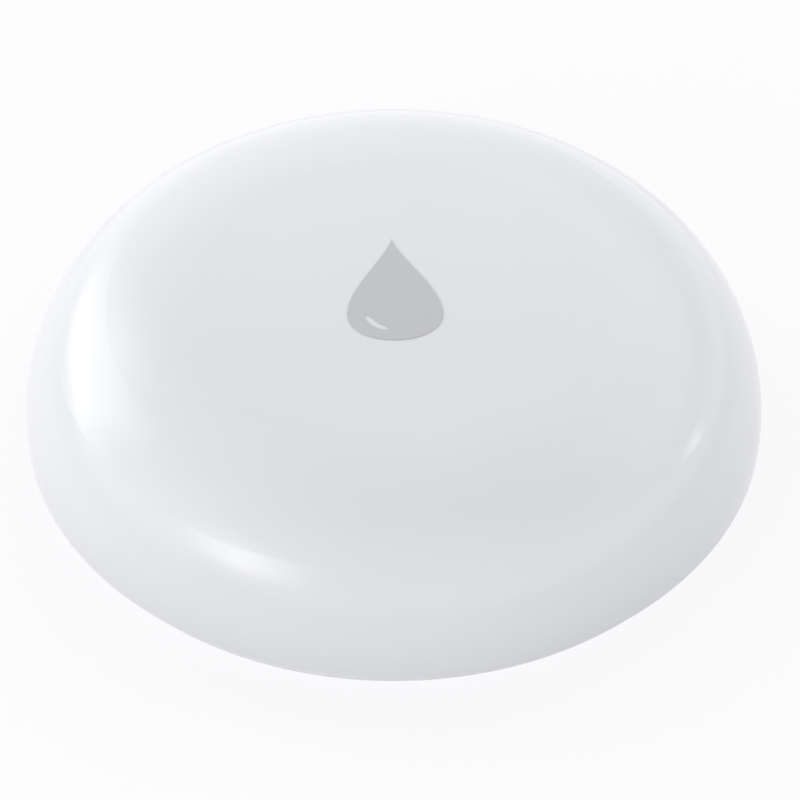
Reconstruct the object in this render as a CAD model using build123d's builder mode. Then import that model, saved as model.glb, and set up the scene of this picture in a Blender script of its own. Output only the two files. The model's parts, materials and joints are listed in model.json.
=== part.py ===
from build123d import *
from math import asin, atan2, cos, degrees, radians, sin
import os

# Round water leak sensor that lies on the floor, in millimetres.
# The origin is on the floor under the middle, and +Z points up.
# The two probes lie along X, and the key side of the circuit board faces +Y.
# It is 50 across and 15 high. The width follows from the coin cell outward, and the height
# from the floor up through the cell, the board and the switch to the cover.

# Gaps shared by all pieces
overrun = 1.0        # how far a cut runs past the face that it opens
running_gap = 0.1    # beside a face that slides or turns past another
seat_gap = 0.05      # under a face that rests with a little play
thread_gap = 0.03    # round a screw in its hole, or a ring pressed on its wall

# Top cover: a glossy dome whose whole face is the key
seam_gap = 0.35
cover_wall = 1.6
cover_edge = 0.25
press_travel = 0.25
side_rise = 1.2
side_radius = 11.0
side_degrees = 36
shoulder_radius = 8.5
shoulder_degrees = 66
crown_radius = 225.0
core_run_counts = (2, 3, 2, 1)
rib_count = 6
rib_wall = 0.8
rib_depth = 0.9
rib_reach = 15.0
post_radius = 1.5
post_height = 1.05
hook_count = 4
hook_degrees = 10
hook_reach = 1.3
hook_height = 1.4
hook_land = 0.4

# Base housing: the tray that lies over the floor on four moulded feet
foot_height = 0.6
foot_width = 2.0
foot_degrees = 40
foot_count = 4
foot_edge = 0.2
floor_wall = 1.5
tuck_width = 3.5
tuck_height = 0.9
tuck_run_count = 4
rim_setback = 1.0
rim_height = 0.6
rim_width = 3.2
rim_edge = 0.12
ring_wall = 1.2
ring_lip = 0.2
catch_reach = 0.7
catch_height = 1.5
catch_land = 0.3
brace_count = 12
brace_wall = 0.8
brace_height = 1.4

# Battery bay in the middle of the base, with its quarter-turn cover
cell_diameter = 20.0
cell_height = 3.2
cell_gap = 0.25
cell_rest_height = 0.4
cell_rest_width = 1.2
skirt_wall = 0.8
skirt_height = 2.6
lug_depth = 0.8
lug_height = 2.1
lug_entry = 0.2
lug_degrees = 34
lug_count = 3
turn_degrees = 90
flange_wall = 1.4
gasket_width = 1.0
gasket_sink = 0.4
gasket_land = 0.35
cover_seam = 0.15
neck_wall = 1.3
neck_height = 3.7
shelf_wall = 1.3
shelf_width = 1.2
slot_length = 15.0
slot_width = 2.0
slot_depth = 0.8
mark_radius = 0.5
mark_depth = 0.2
closed_degrees = -45

# Coin cell
can_wall = 0.3
can_chamfer = 0.35
can_rim_wall = 0.7
can_height = 2.95
cell_gasket_wall = 0.4
cell_gasket_rise = 0.08
cap_chamfer = 0.25

# Circuit board and what is soldered to it
board_gap = 0.3
board_wall = 1.0
contact_room = 1.4
key_radius = 1.2
key_degrees = (40, 200)
screw_count = 3
screw_degrees = 90
screw_radius = 0.9
screw_length = 4.0
screw_head_radius = 1.6
screw_head_height = 1.1
screw_head_edge = 0.4
screw_boss_radius = 2.0
screw_boss_gap = 0.2
screw_hole_gap = 0.2
chip_size = 6.0
chip_height = 0.9
chip_chamfer = 0.12
pin_mark_radius = 0.35
pin_mark_depth = 0.1
crystal_length = 3.2
crystal_width = 2.5
crystal_height = 0.8
crystal_corner = 0.4
antenna_length = 7.0
antenna_width = 2.0
antenna_height = 1.2
led_length = 1.6
led_width = 0.8
led_base_height = 0.3
led_lens_height = 0.4
led_lens_inset = 0.3
capacitor_length = 1.6
capacitor_width = 0.8
capacitor_height = 0.8
resistor_length = 1.6
resistor_width = 0.8
resistor_height = 0.45
chip_corner_shares = (-0.272, 0.212)
crystal_shares = (-0.46, 0.04)
antenna_shares = (0.3, 0.6)
led_shares = (0.0, -0.32)
capacitor_shares = [(-0.2, 0.5), (-0.62, 0.2), (0.3, 0.45), (0.42, 0.45), (-0.3, -0.4), (0.55, -0.3)]
resistor_shares = [(-0.08, 0.5), (0.2, 0.45), (0.32, 0.3), (0.12, -0.4), (0.24, -0.4), (-0.55, -0.25)]

# Tactile switch under the middle of the cover
switch_size = 6.0
switch_height = 4.3
switch_body_height = 3.3
switch_floor = 0.6
switch_well_radius = 2.3
switch_corner = 0.4
frame_wall = 0.2
frame_corner = 0.6
frame_skirt = 1.2
rivet_radius = 0.35
rivet_height = 0.15
rivet_inset = 0.75
snap_wall = 0.1
snap_rise = 0.5
snap_gap = 0.1
snap_bend_shares = (0.55, 0.8)
plunger_radius = 1.7
plunger_flange_wall = 1.2
plunger_nub_radius = 0.8
plunger_chamfer = 0.2
terminal_width = 0.7
terminal_wall = 0.2
terminal_foot = 1.0
terminal_rise = 0.8
terminal_spread = 4.5

# Spring contacts between the board, the cell and the probes
leaf_wall = 0.2
leaf_bend = 0.4
negative_width = 4.0
negative_foot = 2.0
negative_reach = 7.5
negative_touch = 2.8
negative_rise = 0.5
positive_degrees = 90
positive_width = 3.6
positive_foot = 2.2
positive_reach = 1.6
positive_tip = 0.35
positive_slot_gap = 0.4
positive_slot_depth = 1.9

# Probes that sense the water, one at each side
probe_degrees = {"probe_left": 180, "probe_right": 0}
probe_head_radius = 2.3
probe_head_height = 0.9
probe_floor_gap = 0.3
probe_head_edge = 0.3
probe_shank_radius = 1.0
probe_shank_height = 4.7
probe_seal_wall = 0.3
probe_recess_gap = 0.25
probe_inner_land = 1.45
probe_outer_land = 0.15
probe_boss_radius = 2.2
probe_boss_height = 1.9
nut_width = 4.0
nut_height = 1.6
probe_leaf_width = 1.8
probe_leaf_foot = 1.6
probe_leaf_reach = 3.2

# Seal between the cover and the base
housing_seal_height = 0.7
housing_seal_lip = 0.5

# Heights above the floor, from the bottom up
underside = foot_height
floor_top = underside + floor_wall
rim_low = underside + tuck_height
rim_top = rim_low + rim_height
cover_low = rim_top + seam_gap
cover_flange_top = underside + flange_wall
bay_mouth = cover_flange_top + seat_gap
cell_low = cover_flange_top + cell_rest_height
cell_top = cell_low + cell_height
board_low = cell_top + contact_room
board_top = board_low + board_wall
ring_top = board_top + ring_lip
switch_top = board_top + switch_body_height
plunger_top = board_top + switch_height
post_low = plunger_top + seat_gap
overall_height = post_low + post_height + cover_wall
hook_low = rim_top + housing_seal_height + press_travel + running_gap
hook_top = hook_low + hook_height
rib_low = overall_height - cover_wall - rib_depth
probe_head_top = probe_floor_gap + probe_head_height
probe_recess_top = probe_head_top + probe_seal_wall
probe_top = probe_head_top + probe_shank_height
can_top = cell_low + can_height
board_leaf = board_low - leaf_wall / 2

# Radii from the axis outward
cell_radius = cell_diameter / 2
skirt_inner = cell_radius + cell_gap
skirt_radius = skirt_inner + skirt_wall
bay_radius = skirt_radius + running_gap
lug_radius = skirt_radius + lug_depth
channel_radius = lug_radius + running_gap
gasket_inner = channel_radius + gasket_land
gasket_outer = gasket_inner + gasket_width
flange_radius = gasket_outer + gasket_land
pocket_radius = flange_radius + cover_seam
neck_radius = channel_radius + neck_wall
shelf_radius = pocket_radius + shelf_width
screw_ring = shelf_radius + screw_boss_gap + screw_boss_radius
probe_recess_radius = probe_head_radius + probe_recess_gap
probe_spread = pocket_radius + probe_inner_land + probe_recess_radius
flat_radius = probe_spread + probe_recess_radius + probe_outer_land
rim_radius = flat_radius + tuck_width
body_radius = rim_radius + rim_setback
ring_radius = body_radius - rim_width
ring_inner = ring_radius - ring_wall
board_radius = ring_inner - board_gap
cover_inner = body_radius - cover_wall
hook_tip = cover_inner - hook_reach

# The cover's three lugs and the base's channels share one helix
lug_low = bay_mouth + lug_entry
lug_top = lug_low + lug_height
release_travel = lug_top - bay_mouth
thread_lead = release_travel / turn_degrees * 360
channel_top = lug_top + running_gap
channel_degrees = lug_degrees + 2 * thread_gap / thread_lead * 360
skirt_top = cover_flange_top + skirt_height
bay_lip = skirt_top + running_gap
neck_top = bay_mouth + neck_height
print("overall", round(2 * body_radius, 4), "by", round(overall_height, 4),
      "release travel", round(release_travel, 4), "lead", round(thread_lead, 4))


def dome_arcs():
    """Side, shoulder, brow and crown of the dome, each as its middle, radius and end angles.

    The side is widest a little above the seam, and the crown lies level over the middle. The
    brow between shoulder and crown has the one radius that runs into both without a corner.
    """
    side_middle = (body_radius - side_radius, cover_low + cover_edge + side_rise)
    side_start = -degrees(asin(side_rise / side_radius))
    shoulder_middle = arc_point(side_middle, side_radius - shoulder_radius, side_degrees)
    crown_middle = (0, overall_height - crown_radius)
    brow_start = arc_point(shoulder_middle, shoulder_radius, shoulder_degrees)
    across = brow_start[0] - crown_middle[0]
    along = brow_start[1] - crown_middle[1]
    reach = across * cos(radians(shoulder_degrees)) + along * sin(radians(shoulder_degrees))
    brow_radius = (crown_radius ** 2 - across ** 2 - along ** 2) / (2 * (crown_radius - reach))
    brow_middle = arc_point(brow_start, -brow_radius, shoulder_degrees)
    brow_degrees = degrees(atan2(brow_middle[1] - crown_middle[1],
                                 brow_middle[0] - crown_middle[0]))
    return [(side_middle, side_radius, side_start, side_degrees),
            (shoulder_middle, shoulder_radius, side_degrees, shoulder_degrees),
            (brow_middle, brow_radius, shoulder_degrees, brow_degrees),
            (crown_middle, crown_radius, brow_degrees, 90)]


def arc_point(middle, radius, angle):
    """Point of a circle at an angle in degrees."""
    return (middle[0] + radius * cos(radians(angle)), middle[1] + radius * sin(radians(angle)))


def outer_skin():
    """The cover's bevelled lower edge and smooth skin, drawn in the open line builder."""
    arcs = dome_arcs()
    for middle, radius, start, end in arcs:
        CenterArc(middle, radius, start, end - start)
    edge_radius, edge_top = arc_point(*arcs[0][:3])
    Polyline((0, overall_height), (0, cover_low), (edge_radius - cover_edge, cover_low),
             (edge_radius, edge_top))


def inner_skin():
    """The mould core's skin, one wall inside the outer skin and turned in straight runs."""
    points = [(cover_inner, cover_low), (cover_inner, cover_low + cover_edge)]
    for (middle, radius, start, end), runs in zip(dome_arcs(), core_run_counts):
        for run in range(1, runs + 1):
            points.append(arc_point(middle, radius - cover_wall, start + (end - start) * run / runs))
    Polyline(*points, (0, cover_low), close=True)


def ring_profile(inner, outer, low, top, mode=Mode.ADD):
    """Half section of a plain ring, drawn in the open sketch builder."""
    with Locations(((inner + outer) / 2, (low + top) / 2)):
        Rectangle(outer - inner, top - low, mode=mode)


def upright(degrees):
    """Plane through the axis, with its local X pointing out at this bearing."""
    return Plane.XZ.rotated((0, 0, degrees))


def sector(inner, outer, degrees):
    """Flat ring sector that is centred on its local X, as a closed outline."""
    start = -degrees / 2
    near = (inner * cos(radians(start)), inner * sin(radians(start)))
    far = (outer * cos(radians(start)), outer * sin(radians(start)))
    Line(near, far)
    CenterArc((0, 0), outer, start, degrees)
    Line((far[0], -far[1]), (near[0], -near[1]))
    CenterArc((0, 0), inner, start, degrees)


def helical_ring(inner, outer, low, high, sector_degrees):
    """Three sectors of a ring, twisted along the shared helix between two heights."""
    def bearing(height):
        return (height - bay_mouth) / thread_lead * 360

    with BuildPart() as ring:
        for number in range(lug_count):
            turn = bearing(low) + 360 / lug_count * number
            with BuildSketch(Plane.XY.offset(low).rotated((0, 0, turn)), mode=Mode.PRIVATE) as outline:
                with BuildLine():
                    sector(inner - overrun / 2, outer + overrun, sector_degrees)
                make_face()
            add(Solid.extrude_linear_with_rotation(
                outline.sketch.faces()[0], (0, 0, low), (0, 0, high - low),
                bearing(high) - bearing(low)))
        with BuildSketch(Plane.XZ):
            ring_profile(inner, outer, low, high)
        revolve(axis=Axis.Z, mode=Mode.INTERSECT)
    return ring.part


# Top cover: dome shell, ribs, centre post and snap hooks in one moulding
with BuildPart() as cover_space:
    with BuildSketch(Plane.XZ):
        with BuildLine():
            inner_skin()
        make_face()
    revolve(axis=Axis.Z)
    with BuildSketch(Plane.XY.offset(rib_low)):
        with PolarLocations(0, rib_count):
            Rectangle(rib_reach, rib_wall, align=(Align.MIN, Align.CENTER))
    extrude(amount=rib_depth + overrun, mode=Mode.SUBTRACT)
    with BuildSketch(Plane.XY.offset(post_low)):
        Circle(post_radius)
    extrude(amount=post_height + overrun, mode=Mode.SUBTRACT)
    for number in range(hook_count):
        with BuildSketch(upright(360 / hook_count * (number + 0.5) - hook_degrees / 2)):
            with BuildLine():
                Polyline((cover_inner + overrun, hook_top), (hook_tip, hook_top),
                         (hook_tip, hook_top - hook_land),
                         (cover_inner, hook_low), (cover_inner + overrun, hook_low), close=True)
            make_face()
        revolve(axis=Axis.Z, revolution_arc=hook_degrees, mode=Mode.SUBTRACT)

with BuildPart() as top_cover:
    with BuildSketch(Plane.XZ):
        with BuildLine():
            outer_skin()
        make_face()
    revolve(axis=Axis.Z)
    add(cover_space.part, mode=Mode.SUBTRACT)
top_cover.part.label = "top_cover"

# Base housing: rounded tray, ring wall with catches, battery neck and bosses
channels = helical_ring(skirt_radius, channel_radius, bay_mouth - thread_gap, channel_top,
                        channel_degrees)
tuck_angles = [90 * run / tuck_run_count for run in range(tuck_run_count + 1)]
tuck_points = [(flat_radius + tuck_width * sin(radians(angle)),
                rim_low - tuck_height * cos(radians(angle))) for angle in tuck_angles]
with BuildPart() as base_housing:
    with BuildSketch(Plane.XZ):
        with BuildLine():
            Line((0, underside), (flat_radius, underside))
            Polyline(*tuck_points)
            Polyline((rim_radius, rim_low), (rim_radius, rim_top), (ring_radius, rim_top),
                     (ring_radius, ring_top), (ring_inner, ring_top), (ring_inner, floor_top),
                     (shelf_radius, floor_top), (shelf_radius, bay_mouth + shelf_wall),
                     (neck_radius, bay_mouth + shelf_wall), (neck_radius, neck_top),
                     (0, neck_top), (0, underside))
        make_face()
    revolve(axis=Axis.Z)

    # Floor braces from the battery neck to the ring wall
    with BuildSketch(Plane.XY.offset(floor_top)):
        with PolarLocations(0, brace_count, start_angle=180 / brace_count):
            with Locations(((shelf_radius + ring_radius) / 2, 0)):
                Rectangle(ring_radius - shelf_radius, brace_wall)
    extrude(amount=brace_height)

    # Bosses for the board screws and for the probes
    with BuildSketch(Plane.XY.offset(floor_top)):
        with PolarLocations(screw_ring, screw_count, start_angle=screw_degrees):
            Circle(screw_boss_radius)
    extrude(amount=board_low - floor_top)
    with BuildSketch(Plane.XY.offset(floor_top)):
        with PolarLocations(probe_spread, 2):
            Circle(probe_boss_radius)
    extrude(amount=probe_boss_height)

    # Keys that turn the circuit board the right way round
    with BuildSketch(Plane.XY.offset(floor_top)):
        for bearing in key_degrees:
            with PolarLocations(ring_inner, 1, start_angle=bearing):
                Circle(key_radius)
        with BuildLine():
            CenterArc((0, 0), ring_radius, 0, 360)
        make_face(mode=Mode.INTERSECT)
    extrude(amount=board_top - floor_top)

    # Snap catches for the cover's hooks
    catch_low = hook_top + seat_gap
    for number in range(hook_count):
        with BuildSketch(upright(360 / hook_count * (number + 0.5) - hook_degrees / 2)):
            with BuildLine():
                Polyline((ring_inner, catch_low), (ring_radius + catch_reach, catch_low),
                         (ring_radius + catch_reach, catch_low + catch_land),
                         (ring_radius, catch_low + catch_height),
                         (ring_inner, catch_low + catch_height), close=True)
            make_face()
        revolve(axis=Axis.Z, revolution_arc=hook_degrees)

    # Feet: four arcs that keep the underside off the wet floor
    with BuildSketch(Plane.XY):
        for number in range(foot_count):
            bearing = 360 / foot_count * (number + 0.5)
            with BuildLine(Plane.XY.rotated((0, 0, bearing))):
                sector(flat_radius - foot_width, flat_radius, foot_degrees)
            make_face()
    extrude(amount=foot_height)
    chamfer(base_housing.faces().sort_by(Axis.Z)[:foot_count].edges(), foot_edge)

    # Battery bay: pocket for the flange, bore for the skirt, lip round the cell
    with BuildSketch(Plane.XZ):
        ring_profile(0, pocket_radius, underside - overrun, bay_mouth)
        ring_profile(0, bay_radius, bay_mouth, bay_lip)
        ring_profile(0, skirt_inner, bay_lip, neck_top + overrun)
    revolve(axis=Axis.Z, mode=Mode.SUBTRACT)
    add(channels, mode=Mode.SUBTRACT)
    with BuildSketch(Plane.XY.offset(bay_lip)):
        with PolarLocations(skirt_inner, 1, start_angle=positive_degrees):
            Rectangle(2 * positive_slot_depth, positive_width + 2 * positive_slot_gap)
    extrude(amount=neck_top, mode=Mode.SUBTRACT)

    # Holes for the probes and pilot holes for the board screws
    with BuildSketch(Plane.XY.offset(underside)):
        with PolarLocations(probe_spread, 2):
            Circle(probe_recess_radius)
    extrude(amount=probe_recess_top - underside, mode=Mode.SUBTRACT)
    with BuildSketch(Plane.XY.offset(underside)):
        with PolarLocations(probe_spread, 2):
            Circle(probe_shank_radius + thread_gap)
    extrude(amount=neck_top, mode=Mode.SUBTRACT)
    with BuildSketch(Plane.XY.offset(board_low)):
        with PolarLocations(screw_ring, screw_count, start_angle=screw_degrees):
            Circle(screw_radius + thread_gap)
    extrude(amount=-(screw_length + thread_gap - board_wall), mode=Mode.SUBTRACT)

    # Closed and open marks beside the battery cover
    with BuildSketch(Plane.XY.offset(underside)):
        with PolarLocations(pocket_radius + 2 * mark_radius, 2, start_angle=closed_degrees,
                            angular_range=-turn_degrees, endpoint=True):
            Circle(mark_radius)
    extrude(amount=mark_depth, mode=Mode.SUBTRACT)
    rim_edges = base_housing.edges().filter_by(GeomType.CIRCLE)
    chamfer(rim_edges.filter_by(lambda edge: abs(edge.radius - rim_radius) < rim_edge
                                and edge.center().Z > rim_top - rim_edge), rim_edge)
base_housing.part.label = "base_housing"

# Seal ring between the base's ring wall and the cover's skirt
with BuildPart() as housing_seal:
    with BuildSketch(Plane.XZ):
        with BuildLine():
            seal_inner = ring_radius + thread_gap
            seal_outer = cover_inner - running_gap
            seal_top = rim_top + housing_seal_height
            Polyline((seal_inner, rim_top), (seal_outer - housing_seal_lip, rim_top),
                     (seal_outer, seal_top), (seal_inner, seal_top), close=True)
        make_face()
    revolve(axis=Axis.Z)
housing_seal.part.label = "housing_seal"

# Battery cover: coin-slotted flange, skirt round the cell, and three helical lugs
lugs = helical_ring((skirt_inner + skirt_radius) / 2, lug_radius, lug_low, lug_top, lug_degrees)
with BuildPart() as battery_cover:
    with BuildSketch(Plane.XZ):
        ring_profile(0, flange_radius, underside, cover_flange_top)
        ring_profile(skirt_inner, skirt_radius, cover_flange_top, skirt_top)
        ring_profile(cell_radius - cell_rest_width, skirt_inner, cover_flange_top, cell_low)
        ring_profile(gasket_inner - seat_gap, gasket_outer + seat_gap,
                     cover_flange_top - gasket_sink, skirt_top, mode=Mode.SUBTRACT)
    revolve(axis=Axis.Z)
    add(lugs)
    with BuildSketch(Plane.XY.offset(underside)):
        SlotOverall(slot_length, slot_width)
    extrude(amount=slot_depth, mode=Mode.SUBTRACT)
    with BuildSketch(Plane.XY.offset(underside)):
        with PolarLocations(flange_radius - 2 * mark_radius, 1, start_angle=closed_degrees):
            Circle(mark_radius)
    extrude(amount=mark_depth, mode=Mode.SUBTRACT)
battery_cover.part.label = "battery_cover"

# Flat seal ring in the battery cover's groove, pressed against the base
with BuildPart() as battery_cover_seal:
    with BuildSketch(Plane.XZ):
        ring_profile(gasket_inner, gasket_outer, cover_flange_top - gasket_sink, bay_mouth)
    revolve(axis=Axis.Z)
battery_cover_seal.part.label = "battery_cover_seal"

# Coin cell: steel can facing down, plastic gasket, and cap facing up
can_inner = cell_radius - can_rim_wall
cap_radius = can_inner - cell_gasket_wall
with BuildPart() as cell_can:
    with BuildSketch(Plane.XZ):
        with BuildLine():
            Polyline((0, cell_low), (cell_radius - can_chamfer, cell_low),
                     (cell_radius, cell_low + can_chamfer), (cell_radius, can_top),
                     (can_inner, can_top), (can_inner, cell_low + can_wall),
                     (0, cell_low + can_wall), close=True)
        make_face()
    revolve(axis=Axis.Z)
cell_can.part.label = "cell_can"

with BuildPart() as cell_gasket:
    with BuildSketch(Plane.XZ):
        ring_profile(cap_radius, can_inner - thread_gap, cell_low + can_wall,
                     can_top + cell_gasket_rise)
    revolve(axis=Axis.Z)
cell_gasket.part.label = "cell_gasket"

with BuildPart() as cell_cap:
    with BuildSketch(Plane.XZ):
        with BuildLine():
            Polyline((0, cell_low + can_wall), (cap_radius - thread_gap, cell_low + can_wall),
                     (cap_radius - thread_gap, cell_top - cap_chamfer),
                     (cap_radius - thread_gap - cap_chamfer, cell_top), (0, cell_top), close=True)
        make_face()
    revolve(axis=Axis.Z)
cell_cap.part.label = "cell_cap"

# Circuit board with screw holes and two key notches
with BuildPart() as circuit_board:
    with BuildSketch(Plane.XY.offset(board_low)):
        Circle(board_radius)
        with PolarLocations(screw_ring, screw_count, start_angle=screw_degrees):
            Circle(screw_radius + screw_hole_gap, mode=Mode.SUBTRACT)
        for bearing in key_degrees:
            with PolarLocations(ring_inner, 1, start_angle=bearing):
                Circle(key_radius + running_gap, mode=Mode.SUBTRACT)
    extrude(amount=board_wall)
circuit_board.part.label = "circuit_board"

# Three pan-head screws that hold the board to its bosses
with BuildPart() as board_screws:
    with BuildSketch(Plane.XY.offset(board_top)):
        with PolarLocations(screw_ring, screw_count, start_angle=screw_degrees):
            Circle(screw_head_radius)
    extrude(amount=screw_head_height)
    chamfer(board_screws.faces().sort_by(Axis.Z)[-screw_count:].edges(), screw_head_edge)
    with BuildSketch(Plane.XY.offset(board_top)):
        with PolarLocations(screw_ring, screw_count, start_angle=screw_degrees):
            Circle(screw_radius)
    extrude(amount=-screw_length)
board_screws.part.label = "board_screws"


def board_places(shares):
    """Places on the board, given as shares of its radius."""
    return Locations(*[(board_radius * across, board_radius * along) for across, along in shares])


# Radio chip with chamfered top edges and a pin-one dimple
with BuildPart() as radio_chip:
    with BuildSketch(Plane.XY.offset(board_top)):
        with board_places([chip_corner_shares]):
            Rectangle(chip_size, chip_size, align=(Align.MAX, Align.MIN))
    extrude(amount=chip_height)
    chamfer(radio_chip.faces().sort_by(Axis.Z)[-1].edges(), chip_chamfer)
    with BuildSketch(Plane.XY.offset(board_top + chip_height)):
        with board_places([chip_corner_shares]):
            with Locations((3 * pin_mark_radius - chip_size, chip_size - 3 * pin_mark_radius)):
                Circle(pin_mark_radius)
    extrude(amount=-pin_mark_depth, mode=Mode.SUBTRACT)
radio_chip.part.label = "radio_chip"

with BuildPart() as crystal_can:
    with BuildSketch(Plane.XY.offset(board_top)):
        with board_places([crystal_shares]):
            RectangleRounded(crystal_length, crystal_width, crystal_corner)
    extrude(amount=crystal_height)
crystal_can.part.label = "crystal_can"

with BuildPart() as chip_antenna:
    with BuildSketch(Plane.XY.offset(board_top)):
        with board_places([antenna_shares]):
            Rectangle(antenna_length, antenna_width)
    extrude(amount=antenna_height)
    chamfer(chip_antenna.faces().sort_by(Axis.Z)[-1].edges(), chip_chamfer)
chip_antenna.part.label = "chip_antenna"

with BuildPart() as status_led:
    with BuildSketch(Plane.XY.offset(board_top)):
        with board_places([led_shares]):
            Rectangle(led_length, led_width)
    extrude(amount=led_base_height)
    with BuildSketch(Plane.XY.offset(board_top + led_base_height)):
        with board_places([led_shares]):
            Rectangle(led_length - 2 * led_lens_inset, led_width)
    extrude(amount=led_lens_height)
status_led.part.label = "status_led"

with BuildPart() as chip_capacitors:
    with BuildSketch(Plane.XY.offset(board_top)):
        with board_places(capacitor_shares):
            Rectangle(capacitor_length, capacitor_width)
    extrude(amount=capacitor_height)
chip_capacitors.part.label = "chip_capacitors"

with BuildPart() as chip_resistors:
    with BuildSketch(Plane.XY.offset(board_top)):
        with board_places(resistor_shares):
            Rectangle(resistor_length, resistor_width)
    extrude(amount=resistor_height)
chip_resistors.part.label = "chip_resistors"

# Tactile switch: moulded body with a round well, steel frame held by four rivets
well_floor = board_top + switch_floor
frame_low = switch_top - frame_wall
rivet_spacing = switch_size - 2 * rivet_inset
with BuildPart() as switch_body:
    with BuildSketch(Plane.XY.offset(board_top)):
        Rectangle(switch_size, switch_size)
    extrude(amount=frame_low - board_top)
    chamfer(switch_body.edges().filter_by(Axis.Z), switch_corner)
    with BuildSketch(Plane.XY.offset(well_floor)):
        Circle(switch_well_radius)
    extrude(amount=switch_height, mode=Mode.SUBTRACT)
    with BuildSketch(Plane.XY.offset(frame_low)):
        with GridLocations(rivet_spacing, rivet_spacing, 2, 2):
            Circle(rivet_radius)
    extrude(amount=frame_wall + rivet_height)
switch_body.part.label = "switch_body"

with BuildPart() as switch_frame:
    with BuildSketch(Plane.XY.offset(frame_low)):
        Rectangle(switch_size, switch_size + 2 * frame_wall)
        chamfer(vertices(), frame_corner)
        Circle(plunger_radius + running_gap, mode=Mode.SUBTRACT)
        with GridLocations(rivet_spacing, rivet_spacing, 2, 2):
            Circle(rivet_radius + thread_gap, mode=Mode.SUBTRACT)
    extrude(amount=frame_wall)
    with BuildSketch(Plane.XY.offset(frame_low)):
        with GridLocations(0, switch_size + frame_wall, 1, 2):
            Rectangle(switch_size - 2 * frame_corner, frame_wall)
    extrude(amount=-frame_skirt)
switch_frame.part.label = "switch_frame"

# Snap dome: the springy disc that clicks under the plunger
with BuildPart() as switch_dome:
    snap_radius = switch_well_radius - snap_gap
    bend_out, bend_up = snap_bend_shares
    with BuildSketch(Plane.XZ):
        with BuildLine():
            Polyline((snap_radius, well_floor), (snap_radius, well_floor + snap_wall),
                     (snap_radius * bend_out, well_floor + snap_rise * bend_up),
                     (0, well_floor + snap_rise), (0, well_floor + snap_rise - snap_wall),
                     (snap_radius * bend_out, well_floor + snap_rise * bend_up - snap_wall),
                     (snap_radius - snap_wall, well_floor), close=True)
        make_face()
    revolve(axis=Axis.Z)
switch_dome.part.label = "switch_dome"

with BuildPart() as switch_plunger:
    flange_top = frame_low - seat_gap
    with BuildSketch(Plane.XZ):
        ring_profile(0, plunger_nub_radius, well_floor + snap_rise, flange_top)
        ring_profile(0, snap_radius, flange_top - plunger_flange_wall, flange_top)
        ring_profile(0, plunger_radius, flange_top, plunger_top)
    revolve(axis=Axis.Z)
    chamfer(switch_plunger.faces().sort_by(Axis.Z)[-1].edges(), plunger_chamfer)
switch_plunger.part.label = "switch_plunger"

with BuildPart() as switch_terminals:
    half_switch = switch_size / 2
    for side in (-1, 1):
        for row in (-1, 1):
            with BuildSketch(Plane.XZ.offset(row * terminal_spread / 2)):
                with BuildLine():
                    Polyline((side * half_switch, board_top),
                             (side * (half_switch + terminal_foot), board_top),
                             (side * (half_switch + terminal_foot), board_top + terminal_wall),
                             (side * (half_switch + terminal_wall), board_top + terminal_wall),
                             (side * (half_switch + terminal_wall), board_top + terminal_rise),
                             (side * half_switch, board_top + terminal_rise), close=True)
                make_face()
            extrude(amount=terminal_width / 2, both=True)
switch_terminals.part.label = "switch_terminals"

# Spring contact under the board that presses on the cell's cap
with BuildPart() as negative_contact:
    cap_touch = cell_top + leaf_wall / 2
    with BuildSketch(Plane.XZ):
        with BuildLine():
            FilletPolyline((-negative_reach, board_leaf),
                           (-negative_reach + negative_foot, board_leaf),
                           (-negative_touch / 2, cap_touch), (negative_touch / 2, cap_touch),
                           (negative_touch / 2 + negative_rise, cap_touch + negative_rise),
                           radius=leaf_bend)
        trace(line_width=leaf_wall)
    extrude(amount=negative_width / 2, both=True)
negative_contact.part.label = "negative_contact"

# Spring contact that reaches down the slot in the neck to the side of the cell's can
with BuildPart() as positive_contact:
    can_touch = (bay_lip + can_top) / 2
    touch_radius = cell_radius + seat_gap + leaf_wall / 2
    with BuildSketch(upright(positive_degrees)):
        with BuildLine():
            FilletPolyline((touch_radius + positive_reach + positive_foot, board_leaf),
                           (touch_radius + positive_reach, board_leaf),
                           (touch_radius, can_touch),
                           (touch_radius + positive_tip, can_touch - positive_tip),
                           radius=leaf_bend)
        trace(line_width=leaf_wall)
    extrude(amount=positive_width / 2, both=True)
positive_contact.part.label = "positive_contact"

# Probes: steel studs, one at each side, whose heads stop just above the floor
probes = []
for name, bearing in probe_degrees.items():
    stud_plane = upright(bearing)
    stud_plane = stud_plane.shift_origin(stud_plane.from_local_coords((probe_spread, 0)))
    with BuildPart() as probe:
        with BuildSketch(stud_plane):
            with BuildLine():
                Polyline((0, probe_floor_gap),
                         (probe_head_radius - probe_head_edge, probe_floor_gap),
                         (probe_head_radius, probe_floor_gap + probe_head_edge),
                         (probe_head_radius, probe_head_top),
                         (probe_shank_radius, probe_head_top),
                         (probe_shank_radius, probe_top), (0, probe_top), close=True)
            make_face()
        revolve(axis=Axis(stud_plane.origin, (0, 0, 1)))
    probe.part.label = name
    probes.append(probe)

# Seal washers under the probe heads, and the nuts that clamp the probes to their bosses
with BuildPart() as probe_seals:
    with BuildSketch(Plane.XY.offset(probe_head_top)):
        with PolarLocations(probe_spread, 2):
            Circle(probe_head_radius)
            Circle(probe_shank_radius + thread_gap, mode=Mode.SUBTRACT)
    extrude(amount=probe_seal_wall)
probe_seals.part.label = "probe_seals"

with BuildPart() as probe_nuts:
    with BuildSketch(Plane.XY.offset(floor_top + probe_boss_height)):
        with PolarLocations(probe_spread, 2):
            RegularPolygon(nut_width / 2, 6, major_radius=False)
            Circle(probe_shank_radius + thread_gap, mode=Mode.SUBTRACT)
    extrude(amount=nut_height)
probe_nuts.part.label = "probe_nuts"

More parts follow.
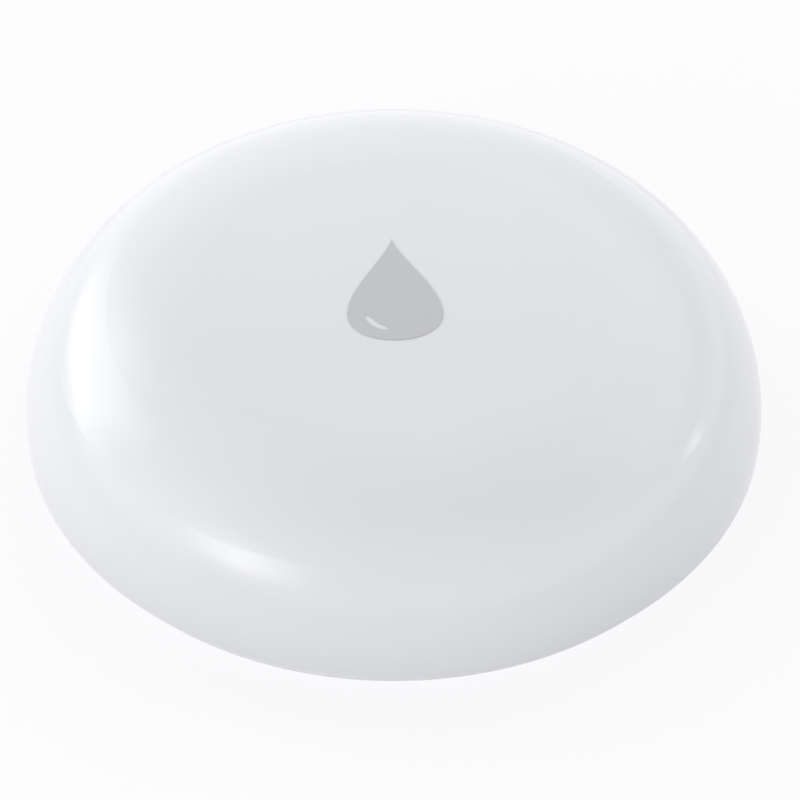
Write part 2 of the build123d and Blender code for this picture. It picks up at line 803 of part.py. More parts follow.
# Leaf contacts that carry the signal from the probes' ends to the board
with BuildPart() as probe_contacts:
    shank_touch = probe_top + leaf_wall / 2
    for bearing in probe_degrees.values():
        with BuildSketch(upright(bearing)):
            with BuildLine():
                FilletPolyline((probe_spread - probe_leaf_reach, board_leaf),
                               (probe_spread - probe_leaf_reach + probe_leaf_foot, board_leaf),
                               (probe_spread - probe_shank_radius, shank_touch),
                               (probe_spread + probe_shank_radius, shank_touch),
                               radius=leaf_bend)
            trace(line_width=leaf_wall)
        extrude(amount=probe_leaf_width / 2, both=True)
probe_contacts.part.label = "probe_contacts"

os.makedirs("parts", exist_ok=True)
pieces = [top_cover, base_housing, housing_seal, battery_cover, battery_cover_seal,
          cell_can, cell_gasket, cell_cap, circuit_board, board_screws, radio_chip,
          crystal_can, chip_antenna, status_led, chip_capacitors, chip_resistors,
          switch_body, switch_frame, switch_dome, switch_plunger, switch_terminals,
          negative_contact, positive_contact, *probes, probe_seals, probe_nuts, probe_contacts]
for piece in pieces:
    export_step(piece.part, f"parts/{piece.part.label}.step")
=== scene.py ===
import bmesh
import bpy
import json
from math import atan2, cos, hypot, pi, radians, sin, sqrt
from mathutils import Matrix, Vector


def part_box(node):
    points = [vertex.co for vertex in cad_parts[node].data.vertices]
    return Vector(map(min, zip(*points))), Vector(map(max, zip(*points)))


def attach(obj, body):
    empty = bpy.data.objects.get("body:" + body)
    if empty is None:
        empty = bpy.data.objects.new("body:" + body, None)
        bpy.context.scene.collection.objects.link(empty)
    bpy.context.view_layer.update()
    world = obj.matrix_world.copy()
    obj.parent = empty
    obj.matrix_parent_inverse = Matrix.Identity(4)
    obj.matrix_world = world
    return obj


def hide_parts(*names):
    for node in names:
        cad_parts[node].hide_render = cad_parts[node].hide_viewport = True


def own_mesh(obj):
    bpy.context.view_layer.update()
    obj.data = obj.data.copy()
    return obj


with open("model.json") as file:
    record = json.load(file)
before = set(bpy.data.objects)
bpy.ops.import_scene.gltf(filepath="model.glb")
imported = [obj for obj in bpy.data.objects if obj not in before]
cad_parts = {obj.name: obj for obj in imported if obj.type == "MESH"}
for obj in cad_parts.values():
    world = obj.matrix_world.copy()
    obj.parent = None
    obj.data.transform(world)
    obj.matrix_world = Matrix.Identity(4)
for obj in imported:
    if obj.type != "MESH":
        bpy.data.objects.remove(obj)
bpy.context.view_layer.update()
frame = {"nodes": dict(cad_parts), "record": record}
mm = 0.001
board_bottom, board_top = [corner.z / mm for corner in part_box("circuit_board")]


class Field:
    """A value or colour that varies over a surface. Arithmetic on it adds Math nodes."""

    def __init__(self, shader, socket):
        self.shader, self.socket = shader, socket

    def __add__(self, other):
        return self.shader.maths("ADD", self, other)

    def __radd__(self, other):
        return self.shader.maths("ADD", other, self)

    def __sub__(self, other):
        return self.shader.maths("SUBTRACT", self, other)

    def __rsub__(self, other):
        return self.shader.maths("SUBTRACT", other, self)

    def __mul__(self, other):
        return self.shader.maths("MULTIPLY", self, other)

    def __rmul__(self, other):
        return self.shader.maths("MULTIPLY", other, self)

    def __neg__(self):
        return self.shader.maths("MULTIPLY", self, -1)

    def __abs__(self):
        return self.shader.maths("ABSOLUTE", self)

    def most(self, other):
        """The larger of two values."""
        return self.shader.maths("MAXIMUM", self, other)

    def wave(self):
        return self.shader.maths("SINE", self)

    def root(self):
        return self.shader.maths("SQRT", self)

    def step(self, start, end):
        """0 below start, 1 above end, and smooth between them."""
        return self.shader.node("ShaderNodeMapRange", {"interpolation_type": "SMOOTHSTEP"},
                                {"Value": self, "From Min": start, "From Max": end})


class Shader:
    """A node tree under construction."""

    def __init__(self, tree):
        self.tree = tree

    def node(self, kind, settings=None, inputs=None, output=0):
        """Adds a node: its settings first, then the values or links of its sockets."""
        made = self.tree.nodes.new(kind)
        for name, value in (settings or {}).items():
            setattr(made, name, value)
        for name, value in (inputs or {}).items():
            self.feed(made.inputs[name], value)
        return Field(self, made.outputs[output])

    def feed(self, socket, value):
        """Links a field to a socket, or sets a constant on it."""
        if isinstance(value, Field):
            self.tree.links.new(value.socket, socket)
        else:
            socket.default_value = value

    def maths(self, operation, *values):
        return self.node("ShaderNodeMath", {"operation": operation}, dict(enumerate(values)))

    def place(self, centre=(0, 0, 0), turn=0):
        """Object coordinates in millimetres, from a centre in millimetres."""
        spot = self.node("ShaderNodeTexCoord", output="Object")
        return self.node("ShaderNodeMapping", {"vector_type": "POINT"},
                         {"Vector": spot, "Scale": (1 / mm, 1 / mm, 1 / mm),
                          "Location": tuple(-c for c in centre), "Rotation": (0, 0, turn)})

    def axes(self, vector):
        """X, Y and Z of a vector, as fields."""
        split = self.node("ShaderNodeSeparateXYZ", None, {0: vector})
        return [Field(self, split.socket.node.outputs[i]) for i in range(3)]

    def noise(self, size, detail, vector=None):
        """Noise between 0 and 1 with features of this size in millimetres."""
        return self.node("ShaderNodeTexNoise", None,
                         {"Vector": vector or self.place(), "Scale": 1 / size, "Detail": detail})

    def mix(self, share, first, second):
        """Colour between two colours."""
        return self.node("ShaderNodeMix", {"data_type": "RGBA"},
                         {0: share, 6: first, 7: second}, output=2)

    def bump(self, height, depth, strength):
        """Normal of a relief whose height runs from 0 to 1 over a depth in millimetres."""
        return self.node("ShaderNodeBump", None,
                         {"Height": height, "Distance": depth * mm, "Strength": strength})


def colour(red, green, blue):
    """Linear colour of a 0 to 255 screen colour."""
    def linear(value):
        value /= 255
        return value / 12.92 if value <= 0.04045 else ((value + 0.055) / 1.055) ** 2.4
    return (linear(red), linear(green), linear(blue), 1.0)


def mottled(size, detail, first, second):
    """Makes a colour that wanders between two screen colours."""
    return lambda s: s.mix(s.noise(size, detail), colour(*first), colour(*second))


def uneven(least, spread, size, detail):
    """Makes a value that wanders above the least one."""
    return lambda s: least + spread * s.noise(size, detail)


def relief(size, detail, depth, strength):
    """Makes a grain with features of a size and depth in millimetres."""
    return lambda s: s.bump(s.noise(size, detail), depth, strength)


def finish(name, sockets, **fields):
    """A Principled material: constants on its sockets, then fields made by small functions."""
    material = bpy.data.materials.new(name)
    material.use_nodes = True
    shader = Shader(material.node_tree)
    surface = material.node_tree.nodes["Principled BSDF"]
    for socket, value in sockets.items():
        shader.feed(surface.inputs[socket], value)
    for socket, make in fields.items():
        shader.feed(surface.inputs[socket.replace("_", " ")], make(shader))
    return material


def cover_plastic():
    return finish("cover_plastic", {"IOR": 1.5},
                  Base_Color=mottled(9.0, 3, (223, 224, 228), (226, 227, 231)),
                  Roughness=uneven(0.09, 0.05, 0.9, 4),
                  Normal=relief(1.4, 2, 0.012, 0.25))


def base_plastic():
    return finish("base_plastic", {"IOR": 1.5},
                  Base_Color=mottled(6.0, 3, (228, 229, 232), (233, 234, 237)),
                  Roughness=uneven(0.38, 0.16, 0.12, 3),
                  Normal=relief(0.16, 3, 0.02, 0.35))


def seal_rubber():
    return finish("seal_rubber", {"IOR": 1.43, "Specular IOR Level": 0.35},
                  Base_Color=mottled(1.2, 4, (150, 152, 156), (166, 168, 172)),
                  Roughness=uneven(0.62, 0.2, 0.3, 3),
                  Normal=relief(0.25, 4, 0.02, 0.4))


def board_laminate():
    """Green mask over copper tracks and lands, with the bare glass weave at the board's edge."""
    cell = 2.4
    weave = 9  # radians per millimetre

    def cells(s, feature, distance):
        return s.node("ShaderNodeTexVoronoi",
                      {"feature": feature, "voronoi_dimensions": "2D", "distance": distance},
                      {"Vector": s.place(turn=radians(45)), "Scale": 1 / cell, "Randomness": 0.8})

    def traces(s):
        """1 on copper tracks, which run straight and slanted, and on round lands."""
        across = cells(s, "F2", "MANHATTAN") - cells(s, "F1", "MANHATTAN")
        track = 1 - across.step(0.07, 0.09)
        land = 1 - cells(s, "F1", "EUCLIDEAN").step(0.1, 0.12)
        return track.most(land)

    def base(s):
        x, y, z = s.axes(s.place())
        mask = s.mix(traces(s), colour(18, 78, 50), colour(34, 112, 70))
        mask = s.mix(s.noise(3.0, 2) * 0.25, mask, colour(12, 58, 40))
        fibres = (x * weave).wave() * (y * weave).wave() * 0.25 + 0.5
        glass = s.mix(fibres, colour(168, 150, 96), colour(192, 176, 122))
        above = z.step(board_bottom + 0.06, board_bottom + 0.08)
        edge = above * (1 - z.step(board_top - 0.1, board_top - 0.06))
        return s.mix(edge, mask, glass)
    return finish("board_laminate", {"IOR": 1.52},
                  Base_Color=base,
                  Roughness=uneven(0.26, 0.14, 0.8, 3),
                  Normal=lambda s: s.bump(traces(s), 0.035, 0.8))


def chip_black():
    return finish("chip_black", {"IOR": 1.5},
                  Base_Color=mottled(0.35, 4, (26, 26, 28), (40, 40, 43)),
                  Roughness=uneven(0.5, 0.2, 0.12, 3),
                  Normal=relief(0.1, 3, 0.012, 0.5))


def ceramic():
    return finish("ceramic", {"IOR": 1.6},
                  Base_Color=mottled(0.25, 4, (150, 124, 92), (172, 146, 110)),
                  Roughness=uneven(0.42, 0.2, 0.15, 3),
                  Normal=relief(0.08, 3, 0.01, 0.4))


def antenna_ceramic():
    """Pale ceramic with a plated band at both ends."""
    low, high = [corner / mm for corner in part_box("chip_antenna")]
    middle, half, band = (low.x + high.x) / 2, (high.x - low.x) / 2, 0.9

    def ends(s):
        x, y, z = s.axes(s.place((middle, 0, 0)))
        return abs(x).step(half - band, half - band + 0.03)

    def base(s):
        body = s.mix(s.noise(0.4, 3), colour(214, 222, 226), colour(232, 236, 238))
        return s.mix(ends(s), body, colour(196, 194, 188))
    return finish("antenna_ceramic", {"IOR": 1.6},
                  Base_Color=base,
                  Metallic=ends,
                  Roughness=uneven(0.3, 0.15, 0.2, 3))


def led_lens():
    """White carrier with a yellowish lens over it."""
    carrier_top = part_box("status_led")[0].z / mm + 0.29

    def base(s):
        x, y, z = s.axes(s.place())
        carrier = s.mix(s.noise(0.2, 3), colour(228, 226, 216), colour(240, 238, 230))
        lens = s.mix(s.noise(0.3, 2), colour(232, 214, 120), colour(244, 228, 150))
        return s.mix(z.step(carrier_top, carrier_top + 0.02), carrier, lens)
    return finish("led_lens", {"IOR": 1.5, "Subsurface Weight": 0.2, "Subsurface Scale": 0.3 * mm},
                  Base_Color=base,
                  Roughness=uneven(0.2, 0.12, 0.3, 2))


def plunger_plastic():
    return finish("plunger_plastic", {"IOR": 1.5},
                  Base_Color=mottled(0.5, 4, (34, 34, 36), (46, 46, 49)),
                  Roughness=uneven(0.42, 0.18, 0.15, 3),
                  Normal=relief(0.12, 3, 0.01, 0.4))


def turned_steel(name, centres, tint, rough):
    """Metal with fine turning rings about each of these upright axes."""
    rings_per_mm = 46 / (2 * pi)
    reach = 4.0

    def rings(s, centre):
        x, y, z = s.axes(s.place(centre))
        radius = (x * x + y * y).root()
        phase = radius * (2 * pi * rings_per_mm) + s.noise(0.6, 2) * 1.5
        ring = phase.wave() * 0.5 + 0.5
        return ring * (1 - radius.step(reach, reach + 0.5)) if len(centres) > 1 else ring

    def base(s):
        dark = tuple(c * 0.86 for c in tint[:3]) + (1.0,)
        return s.mix(s.noise(1.1, 4), dark, tint)
    return finish(name, {"Metallic": 1.0},
                  Base_Color=base,
                  Roughness=uneven(rough, 0.12, 0.35, 4),
                  Normal=lambda s: s.bump(sum(rings(s, centre) for centre in centres), 0.006, 0.35))


def sheet_metal(name, tint, rough=0.22):
    """Rolled metal with a faint grain along X."""
    grain_length, grain_width = 3.0, 0.08

    def brushed(s):
        spot = s.node("ShaderNodeMapping", {"vector_type": "POINT"},
                      {"Vector": s.place(),
                       "Scale": (1 / grain_length, 1 / grain_width, 1 / grain_width)})
        return s.noise(1.0, 3, spot)

    def base(s):
        dark = tuple(c * 0.84 for c in tint[:3]) + (1.0,)
        return s.mix(brushed(s), dark, tint)
    return finish(name, {"Metallic": 1.0},
                  Base_Color=base,
                  Roughness=lambda s: rough + 0.14 * brushed(s),
                  Normal=lambda s: s.bump(brushed(s), 0.006, 0.3))


def print_ink():
    return finish("print_ink", {"IOR": 1.45},
                  Base_Color=mottled(0.5, 4, (190, 191, 195), (195, 196, 200)),
                  Roughness=uneven(0.24, 0.1, 0.2, 3),
                  Normal=relief(0.15, 3, 0.004, 0.3))


def solder():
    return finish("solder", {"Metallic": 1.0},
                  Base_Color=mottled(0.18, 4, (176, 177, 180), (206, 207, 209)),
                  Roughness=uneven(0.2, 0.22, 0.14, 3),
                  Normal=relief(0.09, 3, 0.01, 0.4))


def white_ink():
    return finish("white_ink", {"IOR": 1.45},
                  Base_Color=mottled(0.2, 4, (206, 208, 204), (236, 237, 234)),
                  Roughness=uneven(0.45, 0.2, 0.12, 3),
                  Normal=relief(0.07, 3, 0.006, 0.4))


def cell_grommet():
    return finish("cell_grommet", {"IOR": 1.5},
                  Base_Color=mottled(0.6, 3, (58, 58, 60), (74, 74, 76)),
                  Roughness=uneven(0.5, 0.15, 0.3, 3))


probe_spots = [tuple(((low + high) / 2 / mm)[:2]) + (0,)
               for low, high in (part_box("probe_left"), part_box("probe_right"))]
finishes = {
    "cover_plastic": cover_plastic(),
    "base_plastic": base_plastic(),
    "seal_rubber": seal_rubber(),
    "board_laminate": board_laminate(),
    "chip_black": chip_black(),
    "ceramic": ceramic(),
    "antenna_ceramic": antenna_ceramic(),
    "led_lens": led_lens(),
    "plunger_plastic": plunger_plastic(),
    "probe_steel": turned_steel("probe_steel", probe_spots, colour(206, 207, 208), 0.16),
    "cell_steel": turned_steel("cell_steel", [(0, 0, 0)], colour(200, 200, 198), 0.22),
    "spring_metal": sheet_metal("spring_metal", colour(214, 190, 138)),
    "screw_steel": sheet_metal("screw_steel", colour(186, 187, 190), 0.28),
}
for row in frame["record"]["subparts"]:
    node = frame["nodes"][row["node"]]
    node.data.materials.clear()
    node.data.materials.append(finishes[row["material_slot"]])
frame["nodes"]["cell_gasket"].data.materials[0] = cell_grommet()


def piece(name, shape, body, material):
    """Turns a bmesh in millimetres into a piece that rides on a body."""
    bmesh.ops.transform(shape, matrix=Matrix.Scale(mm, 4), verts=shape.verts)
    mesh = bpy.data.meshes.new(name)
    shape.to_mesh(mesh)
    shape.free()
    mesh.shade_smooth()
    mesh.set_sharp_from_angle(angle=radians(35))
    mesh.materials.append(material)
    made = bpy.data.objects.new(name, mesh)
    bpy.context.scene.collection.objects.link(made)
    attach(made, body)
    return made


crown_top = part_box("top_cover")[1].z / mm
crown_radius = 225.0


def crown_height(x, y):
    """Height of the cover's crown in millimetres over a place near its middle."""
    return crown_top - crown_radius + sqrt(crown_radius ** 2 - x * x - y * y)


def drop_mark():
    """Printed water drop: a plain teardrop with a short curved highlight left open."""
    half_width, half_height, taper, middle, lean = 4.85, 5.0, 1.85, -0.05, 2
    glint_centre, glint_reach, glint_half, glint_middle, glint_sweep = -1.9, 2.1, 0.24, 228, 30
    lift, film = 0.01, 0.03
    shape = bmesh.new()
    outline = bmesh.ops.create_circle(shape, segments=120, radius=1)["verts"]
    for vert in outline:
        turn = atan2(vert.co.x, vert.co.y)
        vert.co = (half_width * sin(turn) * abs(sin(turn / 2)) ** taper,
                   half_height * cos(turn) + middle, 0)
    highlight = bmesh.ops.create_circle(shape, segments=48, radius=1)["verts"]
    for vert in highlight:
        bearing = radians(glint_middle + glint_sweep * vert.co.x)
        reach = glint_reach + glint_half * vert.co.y
        vert.co = (reach * cos(bearing), glint_centre + reach * sin(bearing), 0)
    bmesh.ops.triangle_fill(shape, use_beauty=True, use_dissolve=False, edges=shape.edges)
    bmesh.ops.subdivide_edges(shape, edges=[e for e in shape.edges if not e.is_boundary],
                              cuts=2, use_grid_fill=True)
    bmesh.ops.triangulate(shape, faces=shape.faces)
    bmesh.ops.recalc_face_normals(shape, faces=shape.faces)
    for vert in shape.verts:
        vert.co.z = crown_height(vert.co.x, vert.co.y) + lift
    bmesh.ops.solidify(shape, geom=shape.faces, thickness=-film)
    bmesh.ops.rotate(shape, cent=(0, 0, 0), matrix=Matrix.Rotation(radians(lean), 3, "Z"),
                     verts=shape.verts)
    bmesh.ops.recalc_face_normals(shape, faces=shape.faces)
    piece("drop_mark", shape, "cover", print_ink())


def solids(node):
    """Lowest and highest corner in millimetres of each separate solid of a CAD node."""
    shape = bmesh.new()
    shape.from_mesh(frame["nodes"][node].data)
    bmesh.ops.remove_doubles(shape, verts=shape.verts, dist=1e-6)
    left, corners = set(shape.verts), []
    while left:
        grown, edge = set(), {left.pop()}
        while edge:
            grown |= edge
            edge = {link.other_vert(vert) for vert in edge for link in vert.link_edges} - grown
        left -= grown
        corners.append([Vector([pick(vert.co[axis] for vert in grown) / mm for axis in range(3)])
                        for pick in (min, max)])
    shape.free()
    return sorted(corners, key=lambda pair: tuple(pair[0]))


def turned_shape(shape, centre, outline, cut=None, around=64):
    """Spins an outline of radii and heights round an upright axis, then cut moves its points."""
    before = set(shape.verts)
    points = [shape.verts.new((radius, 0, height)) for radius, height in outline]
    line = [shape.edges.new(pair) for pair in zip(points, points[1:])]
    bmesh.ops.spin(shape, geom=points + line, cent=(0, 0, 0), axis=(0, 0, 1), angle=2 * pi,
                   steps=around, use_merge=True)
    bmesh.ops.remove_doubles(shape, verts=[v for v in shape.verts if v not in before], dist=1e-5)
    for vert in set(shape.verts) - before:
        bearing, height = atan2(vert.co.y, vert.co.x), vert.co.z
        radius = hypot(vert.co.x, vert.co.y)
        if cut:
            radius, height = cut(bearing, radius, height)
        vert.co = (centre[0] + radius * cos(bearing), centre[1] + radius * sin(bearing), height)


def smooth_step(value, start, end):
    """0 below start, 1 above end, and smooth between them."""
    share = min(max((value - start) / (end - start), 0), 1)
    return share * share * (3 - 2 * share)


def thread(bearing, height, low, high, pitch):
    """0 in the root and 1 on the crest of a screw thread that fades out at both ends."""
    flank = 0.38
    turn = (height / pitch + bearing / (2 * pi)) % 1
    crest = max(0, 1 - abs(turn - 0.5) / flank)
    begun = smooth_step(height, low, low + pitch)
    ended = smooth_step(height, high - pitch, high)
    return 1 - (1 - crest) * begun * (1 - ended)


def board_screws():
    """Pan-head thread formers with a cross recess."""
    head_height, crown_reach, rounding = 1.1, 1.2, 0.4
    head_radius = crown_reach + rounding
    shank_radius, core_radius, pitch, rung = 0.9, 0.68, 0.7, 0.07
    recess = 0.6
    shape = bmesh.new()
    for low, high in solids("board_screws"):
        top, seat = high.z, high.z - head_height
        dome = [(0.1 * step, top - 0.02 * (0.1 * step) ** 2) for step in range(13)]
        edge = [(crown_reach + rounding * sin(radians(angle)),
                 top - 0.03 - rounding + rounding * cos(radians(angle)))
                for angle in (20, 40, 60, 80, 90)]
        rim = [(head_radius, seat + 0.12), (head_radius - 0.08, seat), (crown_reach, seat)]
        rungs = int((seat - low.z - 0.3) / rung) + 1
        shank = [(shank_radius, seat - rung * step) for step in range(rungs)]
        tip = [(0.62, low.z + 0.05), (0.45, low.z), (0, low.z)]

        def cut(bearing, radius, height):
            if height > seat + 0.5:
                x, y = abs(radius * cos(bearing)), abs(radius * sin(bearing))
                narrow = 1 - smooth_step(min(x, y), 0.13, 0.27)
                short = 1 - smooth_step(max(x, y), 0.6, 0.98)
                return radius, height - recess * narrow * short
            if radius > shank_radius - 0.01 and height < seat:
                crest = thread(bearing, height, low.z, seat, pitch)
                return core_radius + (shank_radius - core_radius) * crest, height
            return radius, height

        turned_shape(shape, (low + high) / 2, dome + edge + rim + shank + tip, cut)
    bmesh.ops.recalc_face_normals(shape, faces=shape.faces)
    made = piece("cross_head_screws", shape, "base", finishes["screw_steel"])
    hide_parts("board_screws")


def probe(node):
    """Probe with a turned face, a centre mark in it, and a thread for its nut."""
    head_height, head_radius, rounding = 0.9, 2.3, 0.3
    shank_radius, core_radius, pitch, rung = 1.0, 0.86, 0.4, 0.06
    plain_length = 1.9
    shape = bmesh.new()
    low, high = [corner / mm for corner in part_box(node)]
    head_top = low.z + head_height
    mark = [(0, low.z + 0.12), (0.1, low.z + 0.1), (0.24, low.z + 0.01)]
    face = [(0.3 + 0.2 * step, low.z) for step in range(9)]
    edge = [(head_radius - rounding + rounding * sin(radians(angle)),
             low.z + rounding - rounding * cos(radians(angle))) for angle in range(0, 91, 15)]
    shoulder = [(head_radius, head_top - 0.06), (head_radius - 0.06, head_top), (1.4, head_top)]
    rungs = int((high.z - head_top - 0.15) / rung) + 1
    shank = [(shank_radius, head_top + rung * step) for step in range(rungs)]
    end = [(0.82, high.z), (0, high.z)]

    def cut(bearing, radius, height):
        if abs(radius - shank_radius) < 0.01 and height > head_top:
            crest = thread(bearing, height, head_top + plain_length, high.z, pitch)
            return core_radius + (shank_radius - core_radius) * crest, height
        return radius, height

    turned_shape(shape, (low + high) / 2, mark + face + edge + shoulder + shank + end, cut, 72)
    bmesh.ops.recalc_face_normals(shape, faces=shape.faces)
    made = piece("turned_" + node, shape, "base", finishes["probe_steel"])
    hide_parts(node)


def snap_dome():
    """The switch's sprung steel dome, as one fixed shape at rest."""
    low, high = [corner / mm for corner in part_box("switch_dome")]
    reach, rise, wall, fullness = high.x, high.z - low.z, 0.1, 1.4
    shares = [step / 20 for step in range(21)]
    top = [(reach * share,
            low.z + wall + (rise - wall) * (0.5 + 0.5 * cos(pi * share ** fullness)))
           for share in shares]
    under = [(radius, height - wall) for radius, height in reversed(top)]
    shape = bmesh.new()
    turned_shape(shape, (0, 0), top + under, around=72)
    bmesh.ops.recalc_face_normals(shape, faces=shape.faces)
    made = piece("snap_dome", shape, "base", finishes["cell_steel"])
    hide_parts("switch_dome")
    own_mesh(made)


def block(shape, low, high, edge=0.0):
    """Adds a box between two corners. Its edges are rounded where edge gives a radius."""
    made = bmesh.ops.create_cube(shape, size=1)["verts"]
    for vert in made:
        vert.co = [(low[i] + high[i]) / 2 + vert.co[i] * (high[i] - low[i]) for i in range(3)]
    if edge:
        links = list({link for vert in made for link in vert.link_edges})
        bmesh.ops.bevel(shape, geom=links, offset=edge, offset_type="OFFSET", segments=2,
                        profile=0.5, affect="EDGES", material=-1)


def solder_joints():
    """Tinned ends of the chip parts, each with its fillet of solder down to the board."""
    tin, proud, rounding = 0.34, 0.015, 0.03
    run, rise_share, inset = 0.42, 0.7, 0.04
    shape = bmesh.new()
    for low, high in solids("chip_capacitors") + solids("chip_resistors") + solids("status_led"):
        rise = rise_share * (high.z - low.z)
        for side in (-1, 1):
            end = low.x if side < 0 else high.x
            near, far = sorted((end - side * tin, end + side * proud))
            block(shape, (near, low.y - proud, low.z), (far, high.y + proud, high.z + proud),
                  rounding)
            fillet = [(end, low.z)]
            for angle in range(0, 91, 15):
                fillet.append((end + side * run * (1 - cos(radians(angle))) + side * proud,
                               low.z + rise * (1 - sin(radians(angle)))))
            ring = [shape.verts.new((x, low.y + inset, z)) for x, z in fillet]
            sheet = bmesh.ops.contextual_create(shape, geom=ring)["faces"]
            grown = bmesh.ops.extrude_face_region(shape, geom=sheet)["geom"]
            moved = [part for part in grown if isinstance(part, bmesh.types.BMVert)]
            bmesh.ops.translate(shape, vec=(0, high.y - low.y - 2 * inset, 0), verts=moved)
    bmesh.ops.recalc_face_normals(shape, faces=shape.faces)
    piece("solder_joints", shape, "base", solder())


def board_print():
    """White lines printed round the parts on the board."""
    line, film, room = 0.12, 0.025, 0.2
    shape = bmesh.new()
    for node in ("chip_capacitors", "chip_resistors", "status_led", "chip_antenna", "radio_chip",
                 "crystal_can", "switch_body"):
        for low, high in solids(node):
            small = high.x - low.x < 2
            x0, x1 = (low.x + 0.3, high.x - 0.3) if small else (low.x - room, high.x + room)
            y0, y1 = low.y - room, high.y + room
            lines = [(x0, y0 - line, x1, y0), (x0, y1, x1, y1 + line)]
            if not small:
                lines += [(side, y0 - line, side + line, y1 + line) for side in (x0 - line, x1)]
            for left, near, right, far in lines:
                block(shape, (left, near, board_top), (right, far, board_top + film))
    bmesh.ops.recalc_face_normals(shape, faces=shape.faces)
    piece("board_print", shape, "base", white_ink())


def test_pads():
    """Gold-plated rings round the screws and a row of round pads for the test pins."""
    film, edge_film = 0.03, 0.02
    ring_inner, ring_outer = 1.66, 2.02
    pad_radius, pad_step, row_start, row_y = 0.45, 1.5, -3.0, -12.5
    plated, shoulder = board_top + film, board_top + edge_film
    shape = bmesh.new()
    for low, high in solids("board_screws"):
        outline = [(ring_inner, board_top), (ring_inner, plated), (ring_outer - 0.02, plated),
                   (ring_outer, shoulder), (ring_outer, board_top), (ring_inner, board_top)]
        turned_shape(shape, (low + high) / 2, outline, around=48)
    for step in range(5):
        outline = [(0, plated), (pad_radius - 0.05, plated), (pad_radius, shoulder),
                   (pad_radius, board_top), (0, board_top)]
        turned_shape(shape, (row_start + pad_step * step, row_y), outline, around=32)
    bmesh.ops.recalc_face_normals(shape, faces=shape.faces)
    piece("test_pads", shape, "base", finishes["spring_metal"])


drop_mark()
board_screws()
probe("probe_left")
probe("probe_right")
snap_dome()
solder_joints()
board_print()
test_pads()


def floor():
    """Pale disc with the puck's soft shadow. From below it is clear, and it lets light through
    to what lies within 2 mm over it, so the underside can be seen too."""
    white_share = 0.72
    shape = bmesh.new()
    bmesh.ops.create_circle(shape, segments=96, radius=55 * mm, cap_ends=True)
    bmesh.ops.translate(shape, vec=(0, 0, -0.03 * mm), verts=shape.verts)
    mesh = bpy.data.meshes.new("floor")
    shape.to_mesh(mesh)
    shape.free()
    ground = bpy.data.objects.new("floor", mesh)
    bpy.context.scene.collection.objects.link(ground)
    material = bpy.data.materials.new("floor")
    material.use_nodes = True
    nodes = material.node_tree.nodes
    nodes.clear()
    s = Shader(material.node_tree)
    path = s.node("ShaderNodeLightPath").socket.node.outputs
    seen = Field(s, path["Is Camera Ray"]).most(Field(s, path["Is Glossy Ray"]))
    seen = seen.most(Field(s, path["Is Transmission Ray"]))
    lit = s.node("ShaderNodeBsdfDiffuse", None, {"Color": (0.58, 0.58, 0.585, 1)})
    plain = s.node("ShaderNodeEmission", None,
                   {"Color": (0.985, 0.985, 1.0, 1), "Strength": 1.162})
    both = s.node("ShaderNodeMixShader", None, {0: seen * white_share, 1: lit, 2: plain})
    clear = s.node("ShaderNodeBsdfTransparent")
    below = s.node("ShaderNodeNewGeometry", output="Backfacing")
    close = 1 - Field(s, path["Ray Length"]).step(1.2 * mm, 2.4 * mm)
    out = s.node("ShaderNodeMixShader", None, {0: below.most(close), 1: both, 2: clear})
    end = nodes.new("ShaderNodeOutputMaterial")
    material.node_tree.links.new(out.socket, end.inputs["Surface"])
    mesh.materials.append(material)


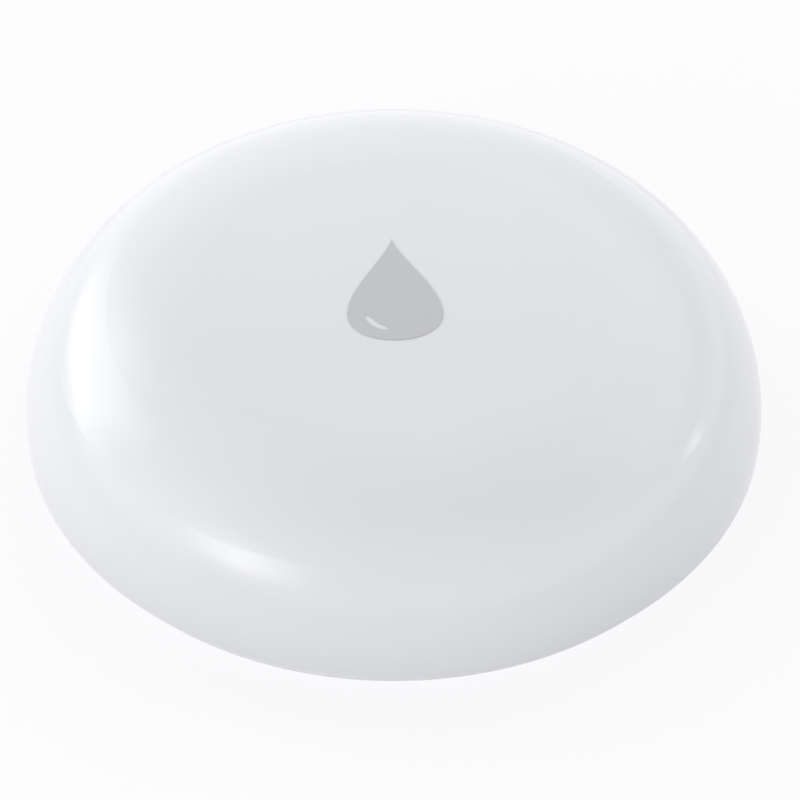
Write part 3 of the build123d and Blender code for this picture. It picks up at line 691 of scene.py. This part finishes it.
def studio():
    """Soft studio round the object: a room that glows towards the floor, and large soft panels.

    Bearings are in degrees from the camera's side, positive to its right. Each panel has its
    bearing and half width, its lowest and highest elevation, the softness of its sides, foot
    and head in degrees, and its light. The room's own light is 0.8 below the horizon, 1.3 at
    it and 0.3 overhead.
    """
    far_glow = (180, 36, -30, -1, 22, 2, 3, 0.5)
    left_panel = (-126, 20, 4, 42, 11, 5, 11, 2.4)
    near_left_lamp = (-46, 12, 10, 25, 17, 6.5, 13, 5.0)
    far_right_panel = (134, 40, 25, 62, 27, 10, 28, 1.2)
    right_strip = (103, 5.3, 7, 11.5, 3, 2, 2.5, 2.2)
    near_ceiling = (-7, 75, 30, 57, 40, 20, 30, 0.55)
    far_panel = (-174, 11, 15, 42, 25, 12, 4, 0.55)
    under_panel = (-60, 70, -75, -40, 40, 12, 6, 0.6)
    panels = [far_glow, left_panel, near_left_lamp, far_right_panel, right_strip, near_ceiling,
              far_panel, under_panel]
    world = bpy.data.worlds.new("studio")
    bpy.context.scene.world = world
    world.use_nodes = True
    nodes = world.node_tree.nodes
    nodes.clear()
    s = Shader(world.node_tree)
    x, y, z = s.axes(s.node("ShaderNodeTexCoord", output="Generated"))
    height = s.maths("ARCSINE", z) * (180 / pi)
    bearing = s.maths("ARCTAN2", x, -y) * (180 / pi)
    room = 0.8 + 0.5 * height.step(-4, 0) - 0.92 * height.step(0, 50)
    light = room - 0.08 * height.step(45, 90)
    for middle, half, low, high, side, foot, head, power in panels:
        off = abs(s.maths("WRAP", bearing - middle, 180, -180))
        across = 1 - off.step(half - side, half + side)
        over_foot = height.step(low - foot, low + foot)
        under_head = 1 - height.step(high - head, high + head)
        light = light + power * across * (over_foot * under_head)
    path = s.node("ShaderNodeLightPath").socket.node.outputs
    seen = Field(s, path["Is Camera Ray"]).most(Field(s, path["Is Transmission Ray"]))
    strength = light * (1 - seen) + seen
    out = s.node("ShaderNodeBackground", None, {"Color": (1, 1, 1, 1), "Strength": strength})
    end = nodes.new("ShaderNodeOutputWorld")
    world.node_tree.links.new(out.socket, end.inputs["Surface"])


def camera():
    """Camera a metre away at the photograph's angle, with the puck in the same place."""
    elevation = radians(43.3)
    seat_height, raised, aside = 1.9, 2.0, 0.41
    aim = Vector((aside, raised * sin(elevation), seat_height + raised * cos(elevation))) * mm
    back = Vector((0, -cos(elevation), sin(elevation)))
    data = bpy.data.cameras.new("camera")
    data.lens = 661.0
    data.sensor_width = 36.0
    data.clip_start, data.clip_end = 0.05, 20.0
    eye = bpy.data.objects.new("camera", data)
    eye.location = aim + back * 1.0
    eye.rotation_euler = (pi / 2 - elevation, 0, 0)
    bpy.context.scene.collection.objects.link(eye)
    bpy.context.scene.camera = eye


floor()
studio()
camera()
bpy.context.scene.view_settings.view_transform = "Standard"
